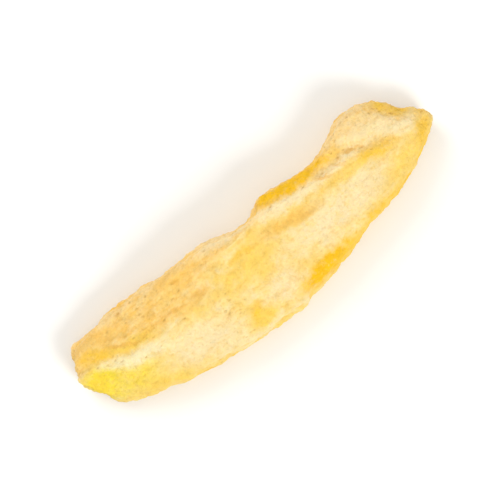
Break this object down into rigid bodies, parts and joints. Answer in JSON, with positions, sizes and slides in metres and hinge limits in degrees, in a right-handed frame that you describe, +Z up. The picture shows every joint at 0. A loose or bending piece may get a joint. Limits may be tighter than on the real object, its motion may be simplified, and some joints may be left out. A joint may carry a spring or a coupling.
{
  "type": "freeze-dried mango slice",
  "caption": "Dry porous strip of fruit flesh with a curved outer edge, a nearly straight inner edge, an obliquely cut broad end and a wandering crest along its upper face.",
  "frame": {"origin": "on the surface the slice lies on, below the middle of its box", "axes": "+X along the slice towards its broad end, +Y from the peel edge to the stone edge, +Z up"},
  "size_m": [0.0822, 0.024, 0.0112],
  "materials": {
    "mango_flesh": "dry, porous and powdery, cream on the cut faces and yellow towards the peel"
  },
  "bodies": {
    "root": {"mango_slice": "mango_flesh"}
  },
  "joints": []
}
